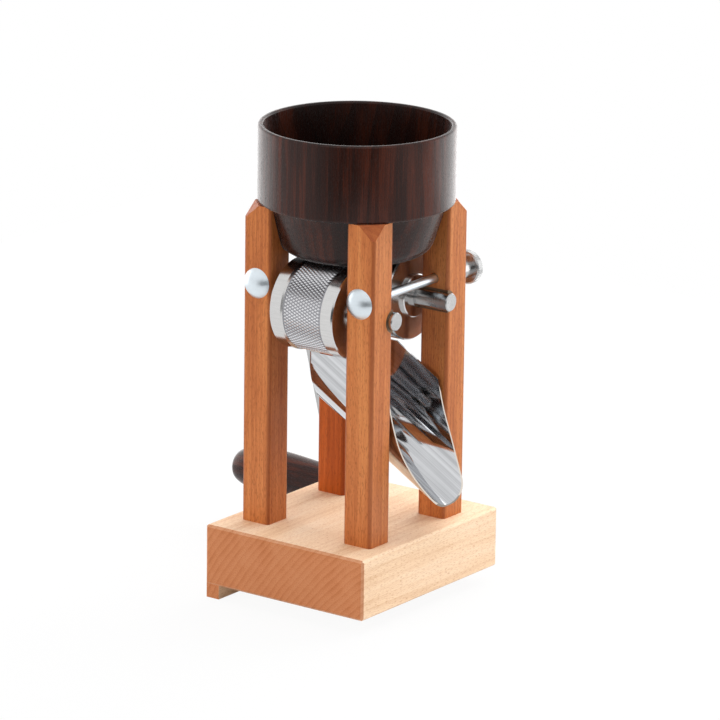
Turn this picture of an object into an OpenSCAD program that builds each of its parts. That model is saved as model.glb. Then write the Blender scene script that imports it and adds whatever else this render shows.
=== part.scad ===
// Hand-cranked grain flaker: wooden stand, two knurled steel rollers, turned hopper, chute and crank.
// Lengths in millimetres.
// The origin is the centre of the base's underside; +X is the outlet side, +Z is up.

/* [Base] */
// width of the base along X
base_w = 127; // [110:1:150]
// depth of the base along Y
base_d = 150; // [130:1:170]
// height of the base
base_h = 40.5; // [30:0.5:60]
// chamfer on the base's edges
base_chamfer = 1.5; // [0.5:0.1:3]
// width of the table-edge stop under the crank side
lip_w = 10; // [5:0.5:15]
// drop of the table-edge stop below the underside
lip_drop = 9.4; // [4:0.1:15]

/* [Posts] */
// side of a square post
post_s = 21.6; // [16:0.1:24]
// radius of a post's long edges
post_round = 2.5; // [1:0.1:5]
// distance of the post centres from the middle along X
post_x = 41; // [38:0.1:46]
// post tops above the base's top
post_rise = 213; // [200:1:230]
// depth of a post's foot in the base
post_foot = 22; // [12:1:28]
// drop of the facet on a post's outer top corner
post_facet_drop = 9; // [5:0.1:18]

/* [Rollers] */
// diameter of the smooth collars that roll on each other
collar_d = 59.7; // [50:0.1:64]
// diameter of the knurled band
band_d = 58.5; // [49:0.1:63]
// length of the knurled band
band_l = 30; // [24:0.5:36]
// length of one collar
collar_l = 10; // [8:0.5:12]
// bevel on the collar edges
collar_bevel = 0.9; // [0.4:0.1:2]
// gap between the two rollers' collars
collar_gap = 0.3; // [0.2:0.05:0.6]
// height of the roller shafts above the base's top
shaft_rise = 147.6; // [140:0.5:156]
// diameter of a roller shaft
shaft_d = 12; // [10:0.1:14]
// reach of the shaft ends past the posts' outer faces
shaft_reach = 3.2; // [2:0.1:9]
// diameter of the hub boss on a roller's end
boss_d = 28.6; // [22:0.1:34]
// length of the hub boss
boss_l = 2.5; // [1.5:0.1:3.5]
// distance of the posts' inner faces outside the shaft's axis
shaft_out = 0.2; // [0.2:0.1:2]
// diameter of the spacer ring beside a post
spacer_d = 15; // [14.2:0.1:18]

/* [Tie bolts] */
// diameter of a tie bolt
tie_d = 6; // [5:0.1:7]
// height of the tie bolts above the roller shafts
tie_above_shaft = 13.9; // [12:0.1:18]
// diameter of a domed bolt head
tie_head_d = 20; // [16:0.5:22]
// height of a domed bolt head
tie_head_h = 4.6; // [3:0.1:6]
// diameter of a knurled nut
nut_d = 22.4; // [18:0.1:26]
// length of the nut's knurled disc
nut_disc_l = 5.6; // [4:0.1:10]
// length of the nut's neck
nut_neck_l = 11; // [8:0.5:16]
// diameter of the nut's neck
nut_neck_d = 14; // [10:0.5:16]
// thickness of the washer under a knurled nut
nut_washer_t = 1.5; // [1:0.1:3]
// diameter of the washer under a knurled nut
nut_washer_d = 17; // [14:0.5:19]

/* [Hopper] */
// outside diameter of the hopper's band
hopper_d = 128; // [118:0.5:140]
// height of the hopper's band
hopper_band_h = 51; // [40:1:65]
// step from the band in to the bowl
hopper_step = 6; // [5:0.5:9]
// angle of the bowl's side from upright
bowl_angle = 16.5; // [5:0.5:22]
// radius of the bowl's lower edge
bowl_round = 12; // [8:0.5:16]
// gap from the rollers' tops to the hopper's underside
hopper_above_roller = 2; // [1.5:0.1:6]
// thickness of the hopper's rim
rim_t = 3.6; // [3:0.1:6]
// thickness of the hopper's floor at the outlet
floor_t = 9; // [6:0.5:14]
// bore of the outlet tube
throat_bore = 20; // [14:0.5:22]
// wall of the outlet tube
throat_wall = 2; // [1:0.1:2.5]
// reach of the outlet tube below the hopper
throat_reach = 7; // [2:0.5:8]

/* [Chute] */
// outside radius of the trough
chute_r = 28.4; // [22:0.1:28.5]
// sheet thickness of the trough
chute_t = 1.2; // [0.8:0.1:2]
// height of the trough's straight walls above its axis
chute_wall = 20.6; // [16:0.1:32]
// slope of the trough
chute_slope = 30.4; // [22:0.1:36]
// height of the trough's outside bottom above the base's top, at the middle
chute_mid_rise = 66.6; // [56:0.1:72]
// reach of the trough's upper end past the middle
chute_back = 15; // [14:0.5:48]
// gap under the rollers to the trough's walls
chute_under_roller = 2.4; // [1.5:0.1:6]
// place along X where the slanted end cut leaves the walls
chute_cut_x = 47.5; // [46:0.5:56]
// place along X where the slanted end cut would leave the trough's bottom
chute_aim_x = 93.9; // [80:0.1:98]
// place along X of the trough's tip
chute_tip_x = 76.7; // [72:0.1:86]
// radius of the rounding above the tip
chute_tip_round = 22.6; // [8:0.1:30]
// hollow of the end cut below a straight line
chute_cut_hollow = 8.6; // [2:0.1:12]

/* [Crank] */
// distance from the shaft to the handle's pin
crank_r = 168; // [130:1:170]
// thickness of the crank arm
arm_t = 5; // [4:0.5:8]
// width of the crank arm
arm_w = 10; // [9:0.5:20]
// lean of the hanging crank from straight down
crank_lean = 17; // [0:1:30]
// diameter of the crank's hub
hub_d = 18; // [17:0.5:26]
// diameter of the handle's pin
pin_d = 8; // [6:0.1:10]
// largest diameter of the handle
handle_d = 31; // [26:0.5:36]
// length of the handle
handle_l = 81.5; // [60:1:95]

/* [Fits] */
// radial gap of a running fit
run_gap = 0.04; // [0.02:0.01:0.08]
// gap beside a turning part
side_gap = 0.3; // [0.2:0.05:0.6]
// gap round the bowl in the posts' seats
seat_gap = 0.4; // [0.3:0.05:1]
// gap of the crank beyond the widest part of the stand
crank_gap = 1.5; // [1.2:0.1:6]

/* [Hidden] */
$fn = 96;
// longer than any piece, for through cuts
far = 300;
// overlap of a cut past a face
over = 1;
eps = 0.02;
post_half = post_s / 2;
post_in_x = post_x - post_half;
post_out_x = post_x + post_half;
shaft_y = (collar_d + collar_gap) / 2;
bush_wall = 1.5;
bush_in_r = shaft_d / 2 + run_gap;
bush_out_r = bush_in_r + bush_wall;
post_in_y = shaft_y + shaft_out;
post_y = post_in_y + post_half;
post_out_y = post_in_y + post_s;
post_top = base_h + post_rise;
shaft_z = base_h + shaft_rise;
tie_z = shaft_z + tie_above_shaft;
roller_half = band_l / 2 + collar_l;
boss_end = roller_half + boss_l;
shaft_end = post_out_x + shaft_reach;
hopper_r = hopper_d / 2;
bowl_r = hopper_r - hopper_step;
hopper_under = shaft_z + collar_d / 2 + hopper_above_roller;
hopper_top = post_top + hopper_band_h;
throat_r = throat_bore / 2 + throat_wall;
flange_t = 1.5;
flange_r = throat_r + 4;
floor_z = hopper_under + floor_t;
stand_half = max(base_w / 2, hopper_r);
arm_in_x = stand_half + crank_gap;
arm_out_x = arm_in_x + arm_t;
crank_y = shaft_y + crank_r * sin(crank_lean);
crank_z = shaft_z - crank_r * cos(crank_lean);
handle_washer_t = 1.2;
handle_start = arm_out_x + handle_washer_t + side_gap;
handle_end = handle_start + handle_l;
chute_axis_mid = base_h + chute_mid_rise + chute_r / cos(chute_slope);
chute_long = 210;
nut_start = post_out_y + nut_washer_t;
nut_end = nut_start + nut_neck_l + nut_disc_l;
tie_proud = 1.2;
tie_end = nut_end + tie_proud;
tie_bevel = 0.6;
thread_gap = 0.05;
bolt_gap = 0.3;
boss_bevel = 0.6;
screw_recess = 8;
screw_head_r = 5;
screw_r = 2.5;
screw_head_h = 3;
screw_in_post = 30;
crank_bolt_r = 3;
crank_bolt_in = 14;
crank_bolt_short = 1;
hub_start = post_out_x + 1;
hub_mid = (hub_start + arm_in_x) / 2;
set_screw_r = 2.5;
set_screw_sink = 0.8;
set_screw_tip = shaft_d / 2 - set_screw_sink;
pin_foot_r = 3;
cap_t = 2.5;
cap_r = 6;
cap_gap = 0.5;
cap_recess = 5;
pin_end = handle_end - cap_recess;
bowl_round_z = hopper_under + bowl_round;
bowl_low_r = bowl_r + ((bowl_round_z - post_top) * sin(bowl_angle) - bowl_round) / cos(bowl_angle);
dowel_r = 2;
dowel_in = 8;
pad_r = 3.2;
pad_apart = 7.6;
pad_rise = 9;
// fixing points of the trough on the outlet-side posts
chute_points = [for (side = [-1, 1]) let (x = post_x + side * pad_apart / 2)
    [x, chute_axis_mid - x * tan(chute_slope) + pad_rise]];
stock = "#c98a5a";
dark = "#4a2a20";
steel = "#c9ccd0";
zinc = "#b9c0c8";

function arc(cx, cy, r, a0, a1, n) = [for (i = [0:n]) let (a = a0 + (a1 - a0) * i / n)
    [cx + r * cos(a), cy + r * sin(a)]];

module x_rod(r, x0, x1, y, z) {
    translate([x0, y, z]) rotate([0, 90, 0]) cylinder(h = x1 - x0, r = r);
}

module y_rod(r, y0, y1, x, z) {
    translate([x, y0, z]) rotate([-90, 0, 0]) cylinder(h = y1 - y0, r = r);
}

module cut_corner_square(w, d, c) {
    polygon([[-w / 2 + c, -d / 2], [w / 2 - c, -d / 2], [w / 2, -d / 2 + c], [w / 2, d / 2 - c],
        [w / 2 - c, d / 2], [-w / 2 + c, d / 2], [-w / 2, d / 2 - c], [-w / 2, -d / 2 + c]]);
}

module round_square(side, r) {
    square([side, side - 2 * r], center = true);
    square([side - 2 * r, side], center = true);
    for (sx = [-1, 1], sy = [-1, 1])
        translate([sx * (side / 2 - r), sy * (side / 2 - r)]) circle(r);
}

// body of a post before its cuts, standing from z0 to z1
module post_stock(z0, z1) {
    translate([0, 0, z0]) linear_extrude(z1 - z0) round_square(post_s, post_round);
}

module base() {
    color(stock) difference() {
        union() {
            intersection() {
                linear_extrude(base_h) cut_corner_square(base_w, base_d, base_chamfer);
                translate([0, base_d, base_h / 2]) rotate([90, 0, 0]) linear_extrude(2 * base_d)
                    cut_corner_square(base_w, base_h, base_chamfer);
                translate([-base_w, 0, base_h / 2]) rotate([0, 90, 0]) linear_extrude(2 * base_w)
                    cut_corner_square(base_h, base_d, base_chamfer);
            }
            translate([-base_w / 2, -base_d / 2 + base_chamfer, -lip_drop])
                cube([lip_w, base_d - 2 * base_chamfer, lip_drop + 2 * base_chamfer]);
        }
        for (sx = [-1, 1], sy = [-1, 1]) {
            translate([sx * post_x, sy * post_y, 0]) post_stock(base_h - post_foot, base_h + over);
            translate([sx * post_x, sy * post_y, -over]) cylinder(h = base_h, r = screw_r);
            translate([sx * post_x, sy * post_y, -over]) cylinder(h = screw_recess + over, r = screw_head_r);
        }
    }
}

// a post with its seat for the bowl, its facet, its bearing notch and its bolt hole
module post(sx, sy) {
    facet_start = 6.8;
    facet_back = 6;
    corner_reach = post_half * sqrt(2) - post_round * (sqrt(2) - 1);
    facet_angle = atan(post_facet_drop / (corner_reach - facet_start));
    color(stock) difference() {
        translate([sx * post_x, sy * post_y, 0]) post_stock(base_h - post_foot, post_top);
        translate([sx * post_x, sy * post_y, post_top]) rotate([0, 0, atan2(sy, sx)])
            translate([facet_start, 0, 0]) rotate([0, facet_angle, 0]) translate([-facet_back, -post_s, 0])
            cube(2 * post_s);
        rotate_extrude() bowl_seat();
        x_rod(bush_out_r, -far, far, sy * shaft_y, shaft_z);
        y_rod(tie_d / 2 + bolt_gap, -far, far, sx * post_x, tie_z);
        translate([sx * post_x, sy * post_y, 0])
            cylinder(h = base_h - post_foot + screw_in_post, r = screw_r);
        if (sx > 0)
            for (p = chute_points)
                y_rod(dowel_r, sy > 0 ? 0 : -(post_in_y + dowel_in), sy > 0 ? post_in_y + dowel_in : 0,
                    p[0], p[1]);
    }
}

// half outline of the space cut into the posts for the bowl
module bowl_seat() {
    seat_r = bowl_r + seat_gap / cos(bowl_angle);
    polygon(concat([[0, hopper_under - seat_gap]],
        arc(bowl_low_r, bowl_round_z, bowl_round + seat_gap, -90, -bowl_angle, 16),
        [[seat_r, post_top], [seat_r, hopper_top], [0, hopper_top]]));
}

module post_front_left() post(-1, -1);
module post_front_right() post(1, -1);
module post_rear_left() post(-1, 1);
module post_rear_right() post(1, 1);

module post_screws() {
    color(zinc) for (sx = [-1, 1], sy = [-1, 1]) translate([sx * post_x, sy * post_y, 0]) {
        translate([0, 0, screw_recess - screw_head_h]) cylinder(h = screw_head_h, r = screw_head_r);
        translate([0, 0, screw_recess - eps]) cylinder(h = base_h - post_foot + screw_in_post - screw_recess,
            r = screw_r);
    }
}

// turned hopper: a straight band, a step in, and a rounded bowl with a cone inside
module hopper() {
    rim_round = 1.4;
    band_round = 2;
    inner_lean = 3;
    inner_side = 34;
    color(dark) difference() {
        rotate_extrude() polygon(concat([[0, hopper_under]],
            arc(bowl_low_r, bowl_round_z, bowl_round, -90, -bowl_angle, 14),
            [[bowl_r, post_top]],
            arc(hopper_r - band_round, post_top + band_round, band_round, -90, 0, 6),
            arc(hopper_r - rim_round, hopper_top - rim_round, rim_round, 0, 90, 6),
            arc(hopper_r - rim_t + rim_round, hopper_top - rim_round, rim_round, 90, 180, 6),
            [[hopper_r - rim_t - inner_lean, hopper_top - inner_side], [flange_r, floor_z], [0, floor_z]]));
        translate([0, 0, hopper_under - over]) cylinder(h = floor_t + 2 * over, r = throat_r);
        translate([0, 0, floor_z - flange_t]) cylinder(h = flange_t + over, r = flange_r);
    }
}

module feed_throat() {
    color(steel) difference() {
        union() {
            translate([0, 0, hopper_under - throat_reach]) cylinder(h = floor_t + throat_reach, r = throat_r);
            translate([0, 0, floor_z - flange_t]) cylinder(h = flange_t, r = flange_r);
        }
        translate([0, 0, hopper_under - throat_reach - over])
            cylinder(h = floor_t + throat_reach + 2 * over, r = throat_bore / 2);
    }
}

// roller of a knurled band between two smooth collars
module roller(y) {
    color(steel) translate([0, y, shaft_z]) rotate([0, 90, 0]) rotate_extrude() polygon([
        [shaft_d / 2, -boss_end], [boss_d / 2 - boss_bevel, -boss_end], [boss_d / 2, -boss_end + boss_bevel],
        [boss_d / 2, -roller_half], [collar_d / 2 - collar_bevel, -roller_half],
        [collar_d / 2, -roller_half + collar_bevel], [collar_d / 2, -band_l / 2 - collar_bevel],
        [band_d / 2, -band_l / 2], [band_d / 2, band_l / 2], [collar_d / 2, band_l / 2 + collar_bevel],
        [collar_d / 2, roller_half - collar_bevel], [collar_d / 2 - collar_bevel, roller_half],
        [boss_d / 2, roller_half], [boss_d / 2, boss_end - boss_bevel],
        [boss_d / 2 - boss_bevel, boss_end],
        [shaft_d / 2, boss_end]]);
}

module drive_roller() roller(shaft_y);
module idler_roller() roller(-shaft_y);

module shaft(y, x0, x1) {
    bevel = 0.6;
    color(steel) translate([0, y, shaft_z]) rotate([0, 90, 0]) rotate_extrude() polygon([[0, x0],
        [shaft_d / 2 - bevel, x0], [shaft_d / 2, x0 + bevel], [shaft_d / 2, x1 - bevel],
        [shaft_d / 2 - bevel, x1], [0, x1]]);
}

module drive_shaft() {
    difference() {
        shaft(shaft_y, -arm_in_x, shaft_end);
        color(steel) x_rod(crank_bolt_r, -arm_in_x - over, -arm_in_x + crank_bolt_in, shaft_y, shaft_z);
        color(steel) translate([-hub_mid, shaft_y, shaft_z]) translate([0, 0, set_screw_tip])
            cylinder(h = shaft_d, r = set_screw_r);
    }
}

module idler_shaft() shaft(-shaft_y, -shaft_end, shaft_end);

module spacers(y) {
    color(steel) for (sx = [-1, 1]) difference() {
        x_rod(spacer_d / 2, sx > 0 ? boss_end : -post_in_x + side_gap,
            sx > 0 ? post_in_x - side_gap : -boss_end, y, shaft_z);
        x_rod(shaft_d / 2, -far, far, y, shaft_z);
    }
}

module drive_spacers() spacers(shaft_y);
module idler_spacers() spacers(-shaft_y);

// half-shell bearing liners let into the posts' inner faces
module journal_bushes() {
    color("#b08d4f") for (sx = [-1, 1], sy = [-1, 1]) intersection() {
        difference() {
            x_rod(bush_out_r, sx > 0 ? post_in_x : -post_out_x, sx > 0 ? post_out_x : -post_in_x,
                sy * shaft_y, shaft_z);
            x_rod(bush_in_r, -far, far, sy * shaft_y, shaft_z);
        }
        translate([-far, sy > 0 ? post_in_y : -post_in_y - post_s, shaft_z - post_s])
            cube([2 * far, post_s, 2 * post_s]);
    }
}

// domed bolt through a front and a rear post
module tie_bolt(x) {
    dome_r = (tie_head_h * tie_head_h + tie_head_d * tie_head_d / 4) / (2 * tie_head_h);
    dome_a = asin(tie_head_d / 2 / dome_r);
    color(zinc) translate([x, 0, tie_z]) rotate([-90, 0, 0]) rotate_extrude() polygon(concat(
        [for (i = [0:12]) let (a = dome_a * i / 12)
            [dome_r * sin(a), -post_out_y - tie_head_h + dome_r - dome_r * cos(a)]],
        [[tie_d / 2, -post_out_y], [tie_d / 2, tie_end - tie_bevel],
            [tie_d / 2 - tie_bevel, tie_end], [0, tie_end]]));
}

module tie_bolt_left() tie_bolt(-post_x);
module tie_bolt_right() tie_bolt(post_x);

module nut_washer(x) {
    color(zinc) difference() {
        y_rod(nut_washer_d / 2, post_out_y, post_out_y + nut_washer_t, x, tie_z);
        y_rod(tie_d / 2 + bolt_gap, -far, far, x, tie_z);
    }
}

module nut_washer_left() nut_washer(-post_x);
module nut_washer_right() nut_washer(post_x);

// knurled nut with its neck toward the post
module knurled_nut(x) {
    nut_bore = tie_d / 2 + thread_gap;
    nut_bevel = 0.8;
    disc = nut_start + nut_neck_l;
    color(steel) translate([x, 0, tie_z]) rotate([-90, 0, 0]) rotate_extrude() polygon([
        [nut_bore, nut_start], [nut_neck_d / 2, nut_start], [nut_neck_d / 2, disc],
        [nut_d / 2 - nut_bevel, disc], [nut_d / 2, disc + nut_bevel], [nut_d / 2, nut_end - nut_bevel],
        [nut_d / 2 - nut_bevel, nut_end], [nut_bore, nut_end]]);
}

module knurled_nut_left() knurled_nut(-post_x);
module knurled_nut_right() knurled_nut(post_x);

// round-bottomed trough with straight walls, in its own line along X
module trough(r, wall, extra) {
    x_rod(r, -chute_long / 2 - extra, chute_long / 2 + extra, 0, 0);
    translate([-chute_long / 2 - extra, -r, 0]) cube([chute_long + 2 * extra, 2 * r, wall]);
}

module chute() {
    wall_top = shaft_z - collar_d / 2 - chute_under_roller;
    cut_z = chute_axis_mid - chute_cut_x * tan(chute_slope) + chute_wall / cos(chute_slope);
    aim_z = base_h + chute_mid_rise - chute_aim_x * tan(chute_slope);
    cut_span = norm([chute_aim_x - chute_cut_x, aim_z - cut_z]);
    cut_r = (cut_span * cut_span / 4 + chute_cut_hollow * chute_cut_hollow) / (2 * chute_cut_hollow);
    cut_mid = [(chute_cut_x + chute_aim_x) / 2, (cut_z + aim_z) / 2];
    cut_out = [(cut_z - aim_z) / cut_span, (chute_aim_x - chute_cut_x) / cut_span];
    tip_low = base_h + chute_mid_rise - chute_tip_x * tan(chute_slope);
    tip_turn = 34.8;
    color(steel) difference() {
        translate([0, 0, chute_axis_mid]) rotate([0, chute_slope, 0]) difference() {
            trough(chute_r, chute_wall, 0);
            trough(chute_r - chute_t, chute_wall + chute_r, over);
        }
        translate([-far, -far, wall_top]) cube(2 * far);
        translate([-2 * far - chute_back, -far, 0]) cube(2 * far);
        translate([chute_tip_x, -far, 0]) cube(2 * far);
        difference() {
            translate([chute_tip_x - chute_tip_round, -far, tip_low])
                cube([far, 2 * far, chute_tip_round * sin(tip_turn)]);
            y_rod(chute_tip_round, -far - over, far + over, chute_tip_x - chute_tip_round, tip_low);
        }
        y_rod(cut_r, -far, far, cut_mid[0] + cut_out[0] * (cut_r - chute_cut_hollow),
            cut_mid[1] + cut_out[1] * (cut_r - chute_cut_hollow));
    }
}

module chute_pads() {
    color(steel) for (sy = [-1, 1], p = chute_points) difference() {
        y_rod(pad_r, sy > 0 ? chute_r : -post_in_y, sy > 0 ? post_in_y : -chute_r, p[0], p[1]);
        y_rod(dowel_r, -far, far, p[0], p[1]);
    }
}

module chute_dowels() {
    color(zinc) for (sy = [-1, 1], p = chute_points)
        y_rod(dowel_r, sy > 0 ? chute_r : -post_in_y - dowel_in, sy > 0 ? post_in_y + dowel_in : -chute_r,
            p[0], p[1]);
}

module crank_hub() {
    color(steel) difference() {
        x_rod(hub_d / 2, -arm_in_x, -hub_start, shaft_y, shaft_z);
        x_rod(shaft_d / 2, -far, 0, shaft_y, shaft_z);
        translate([-hub_mid, shaft_y, shaft_z]) cylinder(h = hub_d, r = set_screw_r);
    }
}

module crank_arm() {
    color(steel) difference() {
        translate([-arm_out_x, shaft_y, shaft_z]) rotate([90, 0, 90]) linear_extrude(arm_t)
            rotate(crank_lean - 90) arm_outline();
        x_rod(crank_bolt_r, -far, 0, shaft_y, shaft_z);
        x_rod(pin_foot_r, -far, 0, crank_y, crank_z);
    }
}

module arm_outline() {
    union() {
        circle(r = hub_d / 2);
        translate([crank_r, 0]) circle(r = arm_w / 2);
        translate([0, -arm_w / 2]) square([crank_r, arm_w]);
    }
}

module crank_set_screw() {
    color(zinc) translate([-hub_mid, shaft_y, shaft_z + set_screw_tip])
        cylinder(h = hub_d / 2 - set_screw_tip - over, r = set_screw_r);
}

module crank_bolt() {
    head_r = 8;
    head_h = 3.5;
    dome_r = (head_h * head_h + head_r * head_r) / (2 * head_h);
    dome_a = asin(head_r / dome_r);
    bolt_end = crank_bolt_in - crank_bolt_short - arm_in_x;
    color(zinc) translate([0, shaft_y, shaft_z]) rotate([0, 90, 0]) rotate_extrude() polygon(concat(
        [for (i = [0:10]) let (a = dome_a * i / 10)
            [dome_r * sin(a), -arm_out_x - head_h + dome_r - dome_r * cos(a)]],
        [[crank_bolt_r, -arm_out_x], [crank_bolt_r, bolt_end], [0, bolt_end]]));
}

// pin from the arm through the handle
module handle_pin() {
    color(steel) translate([0, crank_y, crank_z]) rotate([0, 90, 0]) rotate_extrude() polygon([
        [0, -pin_end], [pin_d / 2, -pin_end], [pin_d / 2, -arm_out_x], [pin_foot_r, -arm_out_x],
        [pin_foot_r, -arm_in_x], [0, -arm_in_x]]);
}

module handle_washer() {
    washer_r = 7;
    color(zinc) difference() {
        x_rod(washer_r, -arm_out_x - handle_washer_t, -arm_out_x, crank_y, crank_z);
        x_rod(pin_d / 2, -far, 0, crank_y, crank_z);
    }
}

// pear-shaped turned handle
module handle() {
    foot_r = 0.42 * handle_d;
    wide_r = handle_d / 2;
    tip_r = cap_r + 2;
    foot_bevel = 1.2;
    wide_at = 0.62 * handle_l;
    color(dark) translate([0, crank_y, crank_z]) rotate([0, -90, 0]) rotate_extrude() polygon(concat(
        [[pin_d / 2 + run_gap, handle_start], [foot_r - foot_bevel, handle_start]],
        [for (i = [0:24]) let (t = i / 24, s = t * t * (3 - 2 * t))
            [foot_r + (wide_r - foot_r) * s, handle_start + foot_bevel + t * (wide_at - foot_bevel)]],
        [for (i = [1:18]) let (a = 90 * i / 18)
            [tip_r + (wide_r - tip_r) * cos(a), handle_start + wide_at + (handle_l - wide_at) * sin(a)]],
        [[cap_r + cap_gap, handle_end], [cap_r + cap_gap, handle_end - cap_recess - side_gap],
            [pin_d / 2 + run_gap, handle_end - cap_recess - side_gap]]));
}

module handle_cap() {
    color(zinc) translate([0, crank_y, crank_z]) x_rod(cap_r, -pin_end - cap_t, -pin_end, 0, 0);
}

base();
post_front_left();
post_front_right();
post_rear_left();
post_rear_right();
post_screws();
hopper();
feed_throat();
drive_roller();
idler_roller();
drive_shaft();
idler_shaft();
drive_spacers();
idler_spacers();
journal_bushes();
tie_bolt_left();
tie_bolt_right();
nut_washer_left();
nut_washer_right();
knurled_nut_left();
knurled_nut_right();
chute();
chute_pads();
chute_dowels();
crank_hub();
crank_arm();
crank_set_screw();
crank_bolt();
handle_pin();
handle_washer();
handle();
handle_cap();
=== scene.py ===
"""Hand-cranked grain flaker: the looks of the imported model.

Lengths are in metres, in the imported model's frame: +Z is up, +X the chute's side and -Y the front.
"""
import math

import bmesh
import bpy
from mathutils import Euler, Matrix, Vector


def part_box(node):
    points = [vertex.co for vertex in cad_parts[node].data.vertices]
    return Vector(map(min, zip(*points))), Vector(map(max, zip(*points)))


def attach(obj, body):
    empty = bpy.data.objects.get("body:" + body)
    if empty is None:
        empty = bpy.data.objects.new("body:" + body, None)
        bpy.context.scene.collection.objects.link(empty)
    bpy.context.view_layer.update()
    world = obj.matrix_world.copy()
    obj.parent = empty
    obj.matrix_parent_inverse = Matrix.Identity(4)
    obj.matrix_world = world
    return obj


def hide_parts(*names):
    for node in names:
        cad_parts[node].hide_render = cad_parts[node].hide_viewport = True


MM = 0.001

# Camera at the photograph's viewing angle
IMAGE_SIDE = 720
CAMERA_AZIMUTH = math.radians(36.142)
CAMERA_ELEVATION = math.radians(16.044)
CAMERA_ROLL = math.radians(0.747)
CAMERA_DISTANCE = 3.572
CAMERA_TARGET = Vector((0.0, 0.0, 140.5 * MM))
CAMERA_REACH = 50
PIXELS_PER_METRE = 1539.0
TARGET_PIXEL = (354.4, 368.7)
SENSOR_WIDTH = 36.0

# Studio
OBJECT_MIDDLE = (0, 0, 0.15)
SKY_LIGHT = 0.2
SKY_SEEN = 1.0
FLOOR_HALF = 0.75
FLOOR_CLEARANCE = 0.2 * MM
FLOOR_COLOUR = (0.78, 0.78, 0.78)
FLOOR_GLOW_SHARE = 0.93

# Dark card on the camera's side, seen only in polished and oiled surfaces
CARD_RADIUS = 1.0
CARD_SPAN = math.radians(50)
CARD_STEPS = 24
CARD_LOW = -0.9
CARD_HIGH = 0.4
CARD_DARK_HALF = 0.35
CARD_PALE_HALF = 0.77
CARD_DARK = (0.03, 0.03, 0.032)
CARD_PALE = (0.9, 0.9, 0.9)

# Roller, as in the solids, with the knurling cut into its middle band
KNURL_HALF = 15 * MM
KNURL_DEPTH = 0.62 * MM
KNURL_RADIUS = 29.25 * MM
KNURL_PITCH_ROUND = 2.27 * MM
KNURL_PITCH_ALONG = 4.0 * MM
KNURL_MATERIAL = 1
COLLAR_BEVEL = 0.9 * MM
ROLLER_HALF = 25 * MM
BOSS_RADIUS = 14.3 * MM
BOSS_BEVEL = 0.6 * MM
SHAFT_RADIUS = 6 * MM
LATHE_STEPS = 160

# Knurled nut, as in the solids, with straight ribs round its disc
NUT_NECK_RADIUS = 7 * MM
NUT_NECK_LENGTH = 11 * MM
NUT_BORE = 3.05 * MM
NUT_BEVEL = 0.8 * MM
NUT_RIB_PITCH = 1.25 * MM
NUT_RIB_DEPTH = 0.35 * MM
NUT_RIB_STEPS = 4

# Softened wooden edges
BASE_EDGE = 0.9 * MM
POST_EDGE = 0.5 * MM
HOPPER_EDGE = 1.2 * MM
EDGE_SEGMENTS = 3
EDGE_ANGLE = math.radians(32)
WELD_REACH = 0.01 * MM

# Wood pattern: stretches count noise cells per metre, with the grain along the last axis
GRAIN_TURN = {"X": (0, -math.pi / 2, 0), "Y": (math.pi / 2, 0, 0), "Z": (0, 0, 0)}
SWAY_STRETCH = (14, 14, 3)
FIBRE_STRETCH = (1100, 1100, 26)
PORE_STRETCH = (2000, 2000, 320)
PORE_RANGE = (0.54, 0.67)
RING_SWAY = 2.2  # in ring widths
RING_LEAN = 0.03  # share of the length along the grain
LATE_WOOD_RANGE = (0.2, 0.98)
LATE_WOOD_MEAN = 0.45
NOISE_MEAN = 0.5
MIDDLE_TONE = 0.5
TONE_STOPS = (0.3, 0.5, 0.75)
END_RANGE = (0.35, 0.85)
# The painted dark reflection on rounded corners rises over this range of the normal's X times Y
PAINTED_EDGE_RANGE = (0.0, 0.45)
# The painted shade on inside faces rises over this range of their facing towards the axis
PAINTED_INSIDE_RANGE = (0.0, 0.03)
BLOOM_ROUGHNESS = 0.22
FIBRE_ROUGHNESS = 0.22
MEAN_FIBRE_ROUGHNESS = 0.1
PORE_ROUGHNESS = 0.12
PORE_DEPTH_SHARE = 0.25
WOOD_RELIEF = 0.2 * MM

# Place of each wooden piece in its log
BASE_PITH = (0.21, 0.16)
POST_PITH_REACH = 0.12
POST_PITH_TURN = 1.7
POST_GRAIN_STEP = 0.37
HOPPER_PITH = (0.09, -0.05)
HOPPER_GRAIN_SHIFT = (0, 0, 2.0)
HANDLE_PITH = (0.05, 0.03)

# Metal pattern
HAZE_SCALE = 45.0
TINT_STOPS = (0.3, 0.6)
SMUDGE_RANGE = (0.5, 0.75)
METAL_RELIEF = 0.05 * MM
# Painted shade in the knurl's grooves: full at their bottom, gone a share of the depth below the peaks
GROOVE_PAINTED_SHADE = (0.32, 0.32, 0.34)
GROOVE_SHADE_END_SHARE = 0.25
SHEARED_COLOUR = (0.3, 0.27, 0.24)
SHEARED_RANGE = (0.05, 0.2)
CHUTE_SLOPE = math.radians(30.4)


def srgb(red, green, blue):
    """A colour from 0-255 display values, as linear numbers."""
    def linear(value):
        value /= 255
        return value / 12.92 if value <= 0.04045 else ((value + 0.055) / 1.055) ** 2.4
    return (linear(red), linear(green), linear(blue))


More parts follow.
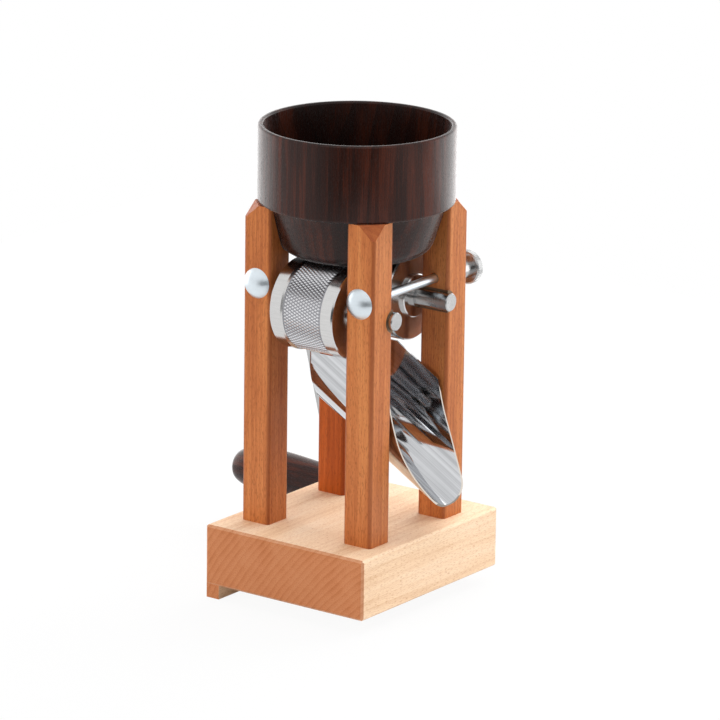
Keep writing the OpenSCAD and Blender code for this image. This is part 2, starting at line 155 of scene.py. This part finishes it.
# Looks of the woods; fleck is the pores' colour, edge a painted dark reflection on a post's rounded corners
PALE = dict(light=srgb(251, 224, 194), dark=srgb(246, 213, 178), deep=srgb(226, 182, 140),
            end_shade=srgb(206, 153, 120), ring_width=4.2 * MM, side_rings=0.08, end_rings=0.2,
            band_stretch=(60, 60, 7), band_detail=3.0, band_share=0.65, fibre_share=0.3,
            fleck=srgb(206, 151, 106), fleck_share=0.55, gloss=0.55, shine=0.3, bloom=0.1, relief=0.22)
RED = dict(light=srgb(214, 136, 74), dark=srgb(194, 112, 55), deep=srgb(156, 78, 33),
           end_shade=srgb(225, 190, 170), ring_width=3.4 * MM, side_rings=0.08, end_rings=0.2,
           band_stretch=(110, 110, 7), band_detail=3.0, band_share=0.6, fibre_share=0.5,
           fleck=srgb(128, 64, 30), fleck_share=0.45, edge=srgb(138, 68, 34), edge_share=0.55,
           gloss=0.48, shine=0.4, bloom=0.15, relief=0.22)
# The rear left post: the red look made darker and more saturated, as painted warm shade
RED_IN_PAINTED_SHADE = dict(RED, light=srgb(204, 112, 50), dark=srgb(184, 88, 30), deep=srgb(146, 64, 18), shine=0.2)
BROWN = dict(light=srgb(84, 40, 27), dark=srgb(46, 22, 16), deep=srgb(23, 13, 11),
             end_shade=srgb(190, 180, 175), ring_width=5.5 * MM, side_rings=0.1, end_rings=0.2,
             band_stretch=(55, 55, 5), band_detail=2.0, band_share=0.75, fibre_share=0.55,
             fleck=srgb(22, 12, 10), fleck_share=0.4, gloss=0.24, shine=0.25, bloom=0.3, relief=0.3)
# The hopper's look, with painted shade on its inside
BROWN_BOWL = dict(BROWN, painted_inside_shade=0.5)
POST_LOOKS = {"post_front_left": RED, "post_front_right": RED,
              "post_rear_left": RED_IN_PAINTED_SHADE, "post_rear_right": RED}

# Nodes of each metal
TURNED_NODES = ("drive_shaft", "idler_shaft", "drive_spacers", "idler_spacers", "crank_hub", "crank_arm",
                "handle_pin", "feed_throat")
SHEET_NODES = ("chute", "chute_pads")
ZINC_NODES = ("post_screws", "tie_bolt_left", "tie_bolt_right", "nut_washer_left", "nut_washer_right",
              "chute_dowels", "crank_set_screw", "crank_bolt", "handle_washer", "handle_cap")


class Graph:
    """A node tree with short calls to add and join nodes."""

    def __init__(self, owner):
        owner.use_nodes = True
        self.tree = owner.node_tree

    def add(self, kind, **settings):
        made = self.tree.nodes.new(kind)
        for key, value in settings.items():
            setattr(made, key, value)
        return made

    def feed(self, socket, value):
        """Joins an output to the socket, or sets the socket to a plain value."""
        if isinstance(value, bpy.types.NodeSocket):
            self.tree.links.new(value, socket)
        elif socket.type == "RGBA":
            socket.default_value = (*value, 1.0)
        else:
            socket.default_value = value

    def coordinates(self, turn=(0, 0, 0), shift=(0, 0, 0), stretch=(1, 1, 1), source=None):
        """The source, or else the object's own coordinates, stretched, turned and shifted."""
        if source is None:
            source = self.add("ShaderNodeTexCoord").outputs["Object"]
        mapping = self.add("ShaderNodeMapping")
        self.feed(mapping.inputs["Location"], shift)
        self.feed(mapping.inputs["Rotation"], turn)
        self.feed(mapping.inputs["Scale"], stretch)
        self.feed(mapping.inputs["Vector"], source)
        return mapping.outputs["Vector"]

    def noise(self, vector, stretch=(1, 1, 1), scale=1.0, detail=3.0, roughness=0.55, distortion=0.0):
        made = self.add("ShaderNodeTexNoise")
        self.feed(made.inputs["Scale"], scale)
        self.feed(made.inputs["Detail"], detail)
        self.feed(made.inputs["Roughness"], roughness)
        self.feed(made.inputs["Distortion"], distortion)
        self.feed(made.inputs["Vector"], self.coordinates(stretch=stretch, source=vector))
        return made.outputs["Fac"]

    def math(self, operation, *values):
        made = self.add("ShaderNodeMath", operation=operation)
        for socket, value in zip(made.inputs, values):
            self.feed(socket, value)
        return made.outputs["Value"]

    def vector(self, operation, *values, result="Vector"):
        made = self.add("ShaderNodeVectorMath", operation=operation)
        for socket, value in zip(made.inputs, values):
            self.feed(socket, value)
        return made.outputs[result]

    def ramp(self, factor, *stops):
        """Colours between stops, each a place from 0 to 1 and a colour."""
        made = self.add("ShaderNodeValToRGB")
        elements = made.color_ramp.elements
        while len(elements) < len(stops):
            elements.new(0.5)
        for element, (place, colour) in zip(elements, stops):
            element.position = place
            element.color = (*colour, 1.0)
        self.feed(made.inputs["Fac"], factor)
        return made.outputs["Color"]

    def grey_ramp(self, factor, low, high):
        """A smooth rise from 0 at low to 1 at high."""
        made = self.add("ShaderNodeMapRange", interpolation_type="SMOOTHSTEP")
        self.feed(made.inputs["From Min"], low)
        self.feed(made.inputs["From Max"], high)
        self.feed(made.inputs["Value"], factor)
        return made.outputs["Result"]

    def mix(self, factor, first, second, blend="MIX"):
        made = self.add("ShaderNodeMix", data_type="RGBA", blend_type=blend)
        first_colour, second_colour = (socket for socket in made.inputs if socket.type == "RGBA")
        self.feed(made.inputs["Factor"], factor)
        self.feed(first_colour, first)
        self.feed(second_colour, second)
        return next(socket for socket in made.outputs if socket.type == "RGBA")

    def shade(self, factor, colour, by):
        """The colour, multiplied by another one where factor is 1."""
        return self.mix(factor, colour, self.mix(1.0, colour, by, "MULTIPLY"))

    def mix_shaders(self, factor, first, second):
        made = self.add("ShaderNodeMixShader")
        for socket, value in zip(made.inputs, (factor, first, second)):
            self.feed(socket, value)
        return made.outputs["Shader"]


class Surface(Graph):
    """The node tree of a new material, with its Principled shader."""

    def __init__(self, name):
        self.material = bpy.data.materials.new(name)
        super().__init__(self.material)
        self.shader = self.tree.nodes["Principled BSDF"]

    def set(self, name, value):
        self.feed(self.shader.inputs[name], value)

    def bump(self, height, strength, distance):
        made = self.add("ShaderNodeBump")
        self.feed(made.inputs["Strength"], strength)
        self.feed(made.inputs["Distance"], distance)
        self.feed(made.inputs["Height"], height)
        self.set("Normal", made.outputs["Normal"])


def wood(name, grain, pith, look, shift=(0, 0, 0)):
    """Wood with growth rings round a pith line along the grain, soft bands, fibres, pores and darker ends."""
    g = Surface(name)
    along = g.coordinates(GRAIN_TURN[grain], shift)
    facing = g.coordinates(GRAIN_TURN[grain], source=g.add("ShaderNodeTexCoord").outputs["Normal"])
    axis = g.add("ShaderNodeSeparateXYZ")
    g.feed(axis.inputs["Vector"], facing)
    end = g.grey_ramp(g.math("ABSOLUTE", axis.outputs["Z"]), *END_RANGE)

    sway = g.noise(along, SWAY_STRETCH, detail=2.0)
    fibre = g.noise(along, FIBRE_STRETCH, detail=4.0, roughness=0.6)
    band = g.noise(along, look["band_stretch"], detail=look["band_detail"], distortion=0.4)
    pore = g.grey_ramp(g.noise(along, PORE_STRETCH, detail=1.0), *PORE_RANGE)

    ring_width = look["ring_width"]
    from_pith = g.vector("SUBTRACT", along, (*pith, 0))
    span = g.vector("LENGTH", g.vector("MULTIPLY", from_pith, (1, 1, RING_LEAN)), result="Value")
    wobble = g.math("MULTIPLY_ADD", sway, ring_width * RING_SWAY, span)
    late = g.grey_ramp(g.math("FRACT", g.math("DIVIDE", wobble, ring_width)), *LATE_WOOD_RANGE)
    ring_share = g.math("MULTIPLY_ADD", end, look["end_rings"] - look["side_rings"], look["side_rings"])

    tone = g.math("MULTIPLY_ADD", g.math("SUBTRACT", late, LATE_WOOD_MEAN), ring_share, MIDDLE_TONE)
    tone = g.math("MULTIPLY_ADD", g.math("SUBTRACT", fibre, NOISE_MEAN), look["fibre_share"], tone)
    tone = g.math("MULTIPLY_ADD", g.math("SUBTRACT", band, NOISE_MEAN), look["band_share"], tone)
    colour = g.ramp(tone, *zip(TONE_STOPS, (look["light"], look["dark"], look["deep"])))
    colour = g.mix(g.math("MULTIPLY", pore, look["fleck_share"]), colour, look["fleck"])
    colour = g.shade(end, colour, look["end_shade"])
    # Painted dark reflection on a post's rounded corners, where the normal lies between X and Y
    if "edge" in look:
        slant = g.math("MULTIPLY", axis.outputs["X"], axis.outputs["Y"])
        edge = g.grey_ramp(g.math("ABSOLUTE", slant), *PAINTED_EDGE_RANGE)
        colour = g.mix(g.math("MULTIPLY", edge, look["edge_share"]), colour, look["edge"])
    # Painted shade on inside faces, those that face the axis, as in the hopper's bowl
    if "painted_inside_shade" in look:
        from_axis = g.vector("MULTIPLY", along, (1, 1, 0))
        outward = g.vector("DOT_PRODUCT", facing, from_axis, result="Value")
        inside = g.grey_ramp(g.math("MULTIPLY", outward, -1.0), *PAINTED_INSIDE_RANGE)
        colour = g.shade(inside, colour, (look["painted_inside_shade"],) * 3)
    g.set("Base Color", colour)

    g.set("Specular IOR Level", look["shine"])
    g.set("Sheen Weight", look["bloom"])
    g.set("Sheen Roughness", BLOOM_ROUGHNESS)
    rough = g.math("MULTIPLY_ADD", fibre, FIBRE_ROUGHNESS, look["gloss"] - MEAN_FIBRE_ROUGHNESS)
    g.set("Roughness", g.math("MULTIPLY_ADD", pore, PORE_ROUGHNESS, rough))
    height = g.math("SUBTRACT", fibre, g.math("MULTIPLY", pore, PORE_DEPTH_SHARE))
    g.bump(height, look["relief"], WOOD_RELIEF)
    return g.material


def metal(name, colour, roughness, streak, streak_stretch, streak_rough, smudge, bump=0.06, shade=0.88,
          turn=(0, 0, 0), groove_shade_axis=None, sheared_axis=None):
    """Metal with fine machining streaks and faint smudges.

    groove_shade_axis is a point on a knurled roller's axis; that roller's grooves get painted shade.
    sheared_axis runs along a bent sheet, whose cut edges face along it and are dull.
    """
    g = Surface(name)
    g.set("Metallic", 1.0)
    lines = g.noise(g.coordinates(turn), streak_stretch, roughness=0.7)
    haze = g.noise(g.coordinates(), scale=HAZE_SCALE)
    tone = g.math("MULTIPLY_ADD", lines, streak, g.math("MULTIPLY", haze, 1.0 - streak))
    shaded = tuple(channel * shade for channel in colour)
    tint = g.ramp(tone, *zip(TINT_STOPS, (shaded, colour)))
    # Painted shade in the knurled roller's grooves
    if groove_shade_axis is not None:
        across = g.coordinates(stretch=(0, 1, 1))
        reach = g.vector("DISTANCE", across, (0, groove_shade_axis.y, groove_shade_axis.z), result="Value")
        groove_shade_end = KNURL_RADIUS - GROOVE_SHADE_END_SHARE * KNURL_DEPTH
        tint = g.mix(g.grey_ramp(reach, KNURL_RADIUS - KNURL_DEPTH, groove_shade_end), GROOVE_PAINTED_SHADE, tint)
    if sheared_axis is not None:
        normal = g.add("ShaderNodeTexCoord").outputs["Normal"]
        toward = g.vector("DOT_PRODUCT", normal, sheared_axis, result="Value")
        tint = g.mix(g.grey_ramp(g.math("ABSOLUTE", toward), *SHEARED_RANGE), tint, SHEARED_COLOUR)
    g.set("Base Color", tint)
    rough = g.math("MULTIPLY_ADD", lines, streak_rough, roughness)
    g.set("Roughness", g.math("MULTIPLY_ADD", g.grey_ramp(haze, *SMUDGE_RANGE), smudge, rough))
    g.bump(lines, bump, METAL_RELIEF)
    return g.material


def paint(obj, material):
    obj.data.materials.clear()
    obj.data.materials.append(material)


def round_edges(obj, width):
    """Welds the imported facets and softens the sharp edges."""
    weld = obj.modifiers.new("weld", "WELD")
    weld.merge_threshold = WELD_REACH
    bevel = obj.modifiers.new("soft_edges", "BEVEL")
    bevel.width = width
    bevel.segments = EDGE_SEGMENTS
    bevel.limit_method = "ANGLE"
    bevel.angle_limit = EDGE_ANGLE
    bevel.harden_normals = True


def new_object(name, build, *materials):
    """An object with a mesh made by build; the materials go in first, so that faces keep theirs."""
    shape = bmesh.new()
    build(shape)
    mesh = bpy.data.meshes.new(name)
    for material in materials:
        mesh.materials.append(material)
    shape.to_mesh(mesh)
    shape.free()
    made = bpy.data.objects.new(name, mesh)
    bpy.context.scene.collection.objects.link(made)
    return made


def new_piece(name, build, materials, body, slot, *stands_for):
    """A piece made by build, riding on a body and standing for CAD nodes."""
    piece = new_object(name, build, *materials)
    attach(piece, body)
    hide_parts(*stands_for)


def axis_frame(centre, axis):
    """A frame at centre with its Z along axis."""
    turn = Vector((0, 0, 1)).rotation_difference(Vector(axis)).to_matrix().to_4x4()
    return Matrix.Translation(centre) @ turn


def round_point(shape, along, place, radius, share):
    """A vertex at a place along the frame's Z and at a share of a turn round it."""
    turn = math.tau * share
    return shape.verts.new(along @ Vector((radius * math.cos(turn), radius * math.sin(turn), place)))


def skin(shape, first, second, smooth):
    """Faces between two rings of vertices."""
    count = len(first)
    for i in range(count):
        after = (i + 1) % count
        face = shape.faces.new((first[i], first[after], second[after], second[i]))
        face.smooth = smooth


def ring(shape, along, place, radius):
    return [round_point(shape, along, place, radius, i / LATHE_STEPS) for i in range(LATHE_STEPS)]


def lathe(shape, along, profile):
    """Turns a profile of (place, radius) points; each stretch has its own rings, so corners stay sharp."""
    for start, end in zip(profile, profile[1:]):
        skin(shape, ring(shape, along, *start), ring(shape, along, *end), True)


def knurl(shape, along):
    """Diamond knurling: pyramids between two families of crossing grooves."""
    length = 2 * KNURL_HALF
    columns = 2 * round(math.tau * KNURL_RADIUS / KNURL_PITCH_ROUND)
    rows = round(2 * length / KNURL_PITCH_ALONG)
    grid = []
    for row in range(rows + 1):
        place = -KNURL_HALF + length * row / rows
        line = []
        for column in range(columns):
            low = (row + column) % 2 == 0 or row in (0, rows)
            reach = KNURL_RADIUS - KNURL_DEPTH if low else KNURL_RADIUS
            line.append(round_point(shape, along, place, reach, column / columns))
        grid.append(line)
    for row in range(rows):
        for column in range(columns):
            right = (column + 1) % columns
            a, b = grid[row][column], grid[row][right]
            c, d = grid[row + 1][right], grid[row + 1][column]
            if (row + column) % 2 == 0:
                halves = ((a, b, c), (a, c, d))
            else:
                halves = ((a, b, d), (b, c, d))
            for corners in halves:
                shape.faces.new(corners).material_index = KNURL_MATERIAL


def box_corners(node):
    return (Vector(corner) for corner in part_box(node))


def roller_shape(node):
    """Builds a roller: a knurled band between two collars, with a boss on each end."""
    low, high = box_corners(node)
    collar = (high.z - low.z) / 2
    boss_end = (high.x - low.x) / 2
    along = axis_frame((low + high) / 2, (1, 0, 0))
    profile = [(KNURL_HALF, KNURL_RADIUS - KNURL_DEPTH), (KNURL_HALF + COLLAR_BEVEL, collar),
               (ROLLER_HALF - COLLAR_BEVEL, collar), (ROLLER_HALF, collar - COLLAR_BEVEL),
               (ROLLER_HALF, BOSS_RADIUS), (boss_end - BOSS_BEVEL, BOSS_RADIUS),
               (boss_end, BOSS_RADIUS - BOSS_BEVEL), (boss_end, SHAFT_RADIUS)]

    def build(shape):
        knurl(shape, along)
        for side in (-1, 1):
            lathe(shape, along, [(side * place, radius) for place, radius in profile])
        bmesh.ops.recalc_face_normals(shape, faces=shape.faces[:])
    return build


def nut_shape(node):
    """Builds a thumb nut: a plain neck and a ribbed disc."""
    low, high = box_corners(node)
    disc = (high.z - low.z) / 2
    start, end = low.y, high.y
    along = axis_frame(Vector(((low.x + high.x) / 2, 0, (low.z + high.z) / 2)), (0, 1, 0))
    neck_end = start + NUT_NECK_LENGTH
    face = disc - NUT_BEVEL - NUT_RIB_DEPTH
    steps = NUT_RIB_STEPS * round(math.tau * disc / NUT_RIB_PITCH)
    rim = [(neck_end, disc - NUT_BEVEL, False), (neck_end + NUT_BEVEL, disc, True),
           (end - NUT_BEVEL, disc, True), (end, disc - NUT_BEVEL, False)]

    def build(shape):
        lathe(shape, along, [(start, NUT_BORE), (start, NUT_NECK_RADIUS), (neck_end, NUT_NECK_RADIUS),
                             (neck_end, face)])
        loops = []
        for place, radius, ribbed in rim:
            loop = []
            for i in range(steps):
                on_rib = ribbed and i % NUT_RIB_STEPS < NUT_RIB_STEPS / 2
                reach = radius if on_rib else radius - NUT_RIB_DEPTH
                loop.append(round_point(shape, along, place, reach, i / steps))
            loops.append(loop)
        for first, second in zip(loops, loops[1:]):
            skin(shape, first, second, False)
        lathe(shape, along, [(end, face), (end, NUT_BORE), (start, NUT_BORE)])
        bmesh.ops.recalc_face_normals(shape, faces=shape.faces[:])
    return build


def set_camera():
    level = math.cos(CAMERA_ELEVATION)
    away = Vector((level * math.sin(CAMERA_AZIMUTH), -level * math.cos(CAMERA_AZIMUTH),
                   math.sin(CAMERA_ELEVATION)))
    data = bpy.data.cameras.new("camera")
    data.sensor_width = SENSOR_WIDTH
    data.lens = SENSOR_WIDTH * PIXELS_PER_METRE * CAMERA_DISTANCE / IMAGE_SIDE
    data.shift_x = (IMAGE_SIDE / 2 - TARGET_PIXEL[0]) / IMAGE_SIDE
    data.shift_y = (TARGET_PIXEL[1] - IMAGE_SIDE / 2) / IMAGE_SIDE
    data.clip_end = CAMERA_REACH
    camera = bpy.data.objects.new("camera", data)
    camera.location = CAMERA_TARGET + away * CAMERA_DISTANCE
    camera.rotation_mode = "QUATERNION"
    camera.rotation_quaternion = away.to_track_quat("Z", "Y") @ Euler((0, 0, CAMERA_ROLL)).to_quaternion()
    bpy.context.scene.collection.objects.link(camera)
    bpy.context.scene.camera = camera


def area_light(name, place, width, height, watts, aim=OBJECT_MIDDLE, mirrored=False):
    """A soft box: a mirrored one shows in gloss alone, any other lights matte colour alone."""
    data = bpy.data.lights.new(name, "AREA")
    data.shape = "RECTANGLE"
    data.size = width
    data.size_y = height
    data.energy = watts
    lamp = bpy.data.objects.new(name, data)
    lamp.visible_camera = False
    lamp.visible_glossy = mirrored
    lamp.visible_diffuse = not mirrored
    lamp.location = place
    lamp.rotation_mode = "QUATERNION"
    lamp.rotation_quaternion = (Vector(place) - Vector(aim)).to_track_quat("Z", "Y")
    bpy.context.scene.collection.objects.link(lamp)


def set_lamps():
    area_light("front", place=(-1.0, -2.2, 0.8), width=1.6, height=1.2, watts=32)
    area_light("right", place=(2.3, 0.3, 0.8), width=1.6, height=1.2, watts=16)
    area_light("left", place=(-2.3, 0.3, 0.8), width=1.6, height=1.2, watts=18)
    area_light("behind", place=(0.3, 2.2, 1.6), width=3.0, height=1.4, watts=80, aim=(0, 0, 0.1))
    area_light("top", place=(0.2, 0.2, 2.6), width=2.4, height=2.4, watts=42)
    area_light("back_strip", place=(0.13, 0.99, 0.15), width=1.5, height=1.0, watts=7, mirrored=True)
    area_light("left_strip", place=(-0.96, 0.27, 0.15), width=1.4, height=1.0, watts=5, mirrored=True)


def set_world():
    """A plain soft sky; straight and mirrored looks at it show white."""
    world = bpy.data.worlds.new("studio")
    bpy.context.scene.world = world
    g = Graph(world)
    g.tree.nodes.clear()
    path = g.add("ShaderNodeLightPath").outputs
    seen = g.math("MAXIMUM", path["Is Camera Ray"], path["Is Glossy Ray"])
    seen = g.math("MAXIMUM", seen, path["Is Transmission Ray"])
    skies = []
    for strength in (SKY_LIGHT, SKY_SEEN):
        sky = g.add("ShaderNodeBackground")
        g.feed(sky.inputs["Color"], (1, 1, 1))
        g.feed(sky.inputs["Strength"], strength)
        skies.append(sky.outputs["Background"])
    out = g.add("ShaderNodeOutputWorld")
    g.feed(out.inputs["Surface"], g.mix_shaders(seen, *skies))


def set_floor(height):
    """A white floor that keeps a faint shadow."""
    material = bpy.data.materials.new("floor_white")
    g = Graph(material)
    g.tree.nodes.clear()
    matte = g.add("ShaderNodeBsdfDiffuse")
    g.feed(matte.inputs["Color"], FLOOR_COLOUR)
    glow = g.add("ShaderNodeEmission")
    path = g.add("ShaderNodeLightPath").outputs
    seen = g.math("MAXIMUM", path["Is Camera Ray"], path["Is Glossy Ray"])
    share = g.math("MULTIPLY", seen, FLOOR_GLOW_SHARE)
    out = g.add("ShaderNodeOutputMaterial")
    g.feed(out.inputs["Surface"], g.mix_shaders(share, matte.outputs["BSDF"], glow.outputs["Emission"]))

    def build(shape):
        bmesh.ops.create_grid(shape, x_segments=1, y_segments=1, size=FLOOR_HALF)
    floor = new_object("floor", build, material)
    floor.location.z = height


def set_dark_card():
    """A dark card bent round the camera's side, soft at its ends."""
    material = bpy.data.materials.new("card_dark")
    g = Graph(material)
    g.tree.nodes.clear()
    split = g.add("ShaderNodeSeparateXYZ")
    g.feed(split.inputs["Vector"], g.add("ShaderNodeTexCoord").outputs["Object"])
    across = g.math("ABSOLUTE", split.outputs["X"])
    glow = g.add("ShaderNodeEmission")
    fade = g.ramp(across, (CARD_DARK_HALF, CARD_DARK), (CARD_PALE_HALF, CARD_PALE))
    g.feed(glow.inputs["Color"], fade)
    out = g.add("ShaderNodeOutputMaterial")
    g.feed(out.inputs["Surface"], glow.outputs["Emission"])

    def build(shape):
        bmesh.ops.create_grid(shape, x_segments=CARD_STEPS, y_segments=1, size=1.0)
        for vert in shape.verts:
            turn = vert.co.x * CARD_SPAN
            height = CARD_LOW + (CARD_HIGH - CARD_LOW) * (vert.co.y + 1) / 2
            vert.co = Vector((CARD_RADIUS * math.sin(turn), -CARD_RADIUS * math.cos(turn), height))
    card = new_object("dark_card", build, material)
    card.rotation_euler.z = CAMERA_AZIMUTH
    card.visible_camera = False
    card.visible_diffuse = False
    card.visible_shadow = False


def dress_wood(nodes):
    paint(nodes["base"], wood("pale_beech", "Y", BASE_PITH, PALE))
    round_edges(nodes["base"], BASE_EDGE)
    for number, (post, look) in enumerate(POST_LOOKS.items()):
        turn = number * POST_PITH_TURN
        pith = (POST_PITH_REACH * math.cos(turn), POST_PITH_REACH * math.sin(turn))
        paint(nodes[post], wood("oiled_beech_" + post, "Z", pith, look, (0, 0, POST_GRAIN_STEP * number)))
        round_edges(nodes[post], POST_EDGE)
    paint(nodes["hopper"], wood("walnut_turned", "Z", HOPPER_PITH, BROWN_BOWL, HOPPER_GRAIN_SHIFT))
    round_edges(nodes["hopper"], HOPPER_EDGE)
    paint(nodes["handle"], wood("walnut_handle", "X", HANDLE_PITH, BROWN))


def dress_metal(nodes):
    """Paints the metal nodes, and puts knurled rollers and ribbed nuts in place of the plain solids."""
    polished = metal("polished_steel", (0.66, 0.655, 0.65), roughness=0.16, streak=0.6,
                     streak_stretch=(40, 900, 900), streak_rough=0.05, smudge=0.05)
    turned = metal("turned_steel", (0.5, 0.5, 0.5), roughness=0.16, streak=0.7,
                   streak_stretch=(2500, 60, 60), streak_rough=0.12, smudge=0.08)
    sheet = metal("rolled_sheet", (0.67, 0.68, 0.7), roughness=0.05, streak=0.85,
                  streak_stretch=(2.5, 240, 240), streak_rough=0.02, smudge=0.03, bump=0.006, shade=0.6,
                  turn=(0, -CHUTE_SLOPE, 0),
                  sheared_axis=(math.cos(CHUTE_SLOPE), 0, -math.sin(CHUTE_SLOPE)))
    zinc = metal("bright_zinc", (0.76, 0.83, 0.88), roughness=0.32, streak=0.4,
                 streak_stretch=(300, 300, 300), streak_rough=0.06, smudge=0.08)
    # Bronze far darker than its own colour, as painted shade on the journal bushes
    bronze_painted_shade = metal("bearing_bronze_painted_shade", (0.2, 0.13, 0.08), roughness=0.4, streak=0.5,
                   streak_stretch=(900, 60, 60), streak_rough=0.1, smudge=0.1)
    for material, names in ((turned, TURNED_NODES), (sheet, SHEET_NODES), (zinc, ZINC_NODES),
                            (bronze_painted_shade, ("journal_bushes",))):
        for node in names:
            paint(nodes[node], material)

    for name, node, body in (("rear_roller_knurled", "drive_roller", "crank_set"),
                             ("front_roller_knurled", "idler_roller", "idler_set")):
        low, high = box_corners(node)
        knurled = metal("knurled_" + node, (0.8, 0.8, 0.82), roughness=0.22, streak=0.6,
                        streak_stretch=(40, 900, 900), streak_rough=0.06, smudge=0.05,
                        groove_shade_axis=(low + high) / 2)
        new_piece(name, roller_shape(node), (polished, knurled), body, "steel", node)
    for side in ("left", "right"):
        new_piece("thumb_nut_" + side, nut_shape("knurled_nut_" + side), (turned,), "nut_" + side, "steel",
                  "knurled_nut_" + side)


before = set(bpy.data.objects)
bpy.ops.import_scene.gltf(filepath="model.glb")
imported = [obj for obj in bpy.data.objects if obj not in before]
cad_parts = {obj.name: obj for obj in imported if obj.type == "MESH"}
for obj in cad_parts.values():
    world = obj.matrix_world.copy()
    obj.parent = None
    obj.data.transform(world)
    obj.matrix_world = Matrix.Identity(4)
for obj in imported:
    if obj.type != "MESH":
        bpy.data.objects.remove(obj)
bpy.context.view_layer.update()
bpy.context.scene.view_settings.view_transform = "Standard"

set_camera()
set_world()
set_lamps()
set_dark_card()
set_floor(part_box("base")[0][2] - FLOOR_CLEARANCE)
dress_wood(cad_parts)
dress_metal(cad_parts)
